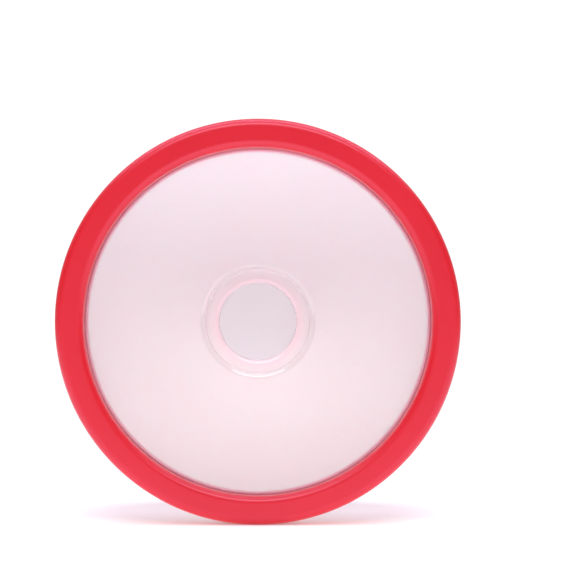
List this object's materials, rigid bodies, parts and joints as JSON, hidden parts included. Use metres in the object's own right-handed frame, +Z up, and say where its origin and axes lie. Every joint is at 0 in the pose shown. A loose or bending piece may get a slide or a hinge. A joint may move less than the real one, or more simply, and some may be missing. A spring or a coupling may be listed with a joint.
{
  "type": "silicone cupping cup",
  "caption": "Round massage suction cup: a thick coral contact ring around a translucent dome, with a squeeze bulb plugged into the neck behind it.",
  "frame": {"origin": "centre of the open mouth, in the plane of the ring's contact face", "axes": "+Y along the cup's axis from the mouth to the bulb, +Z up, with the cup standing on the edge of its ring"},
  "size_m": [0.075, 0.07, 0.075],
  "materials": {
    "ring_silicone": "matte",
    "dome_silicone": "satin",
    "bulb_silicone": "glossy"
  },
  "bodies": {
    "rim": {"contact_ring": "ring_silicone", "dome": "dome_silicone"},
    "neck": {"bulb_body": "bulb_silicone"},
    "crown": {"bulb_crown": "bulb_silicone"}
  },
  "joints": [
    {"name": "dome_press", "type": "slide", "parent": "rim", "child": "neck", "axis": [0, -1, 0], "range_m": [0, 0.012], "stiffness_N_per_m": 1400, "deforming": ["dome"]},
    {"name": "bulb_press", "type": "slide", "parent": "neck", "child": "crown", "axis": [0, -1, 0], "range_m": [0, 0.012], "stiffness_N_per_m": 1000, "deforming": ["bulb_body"]}
  ]
}
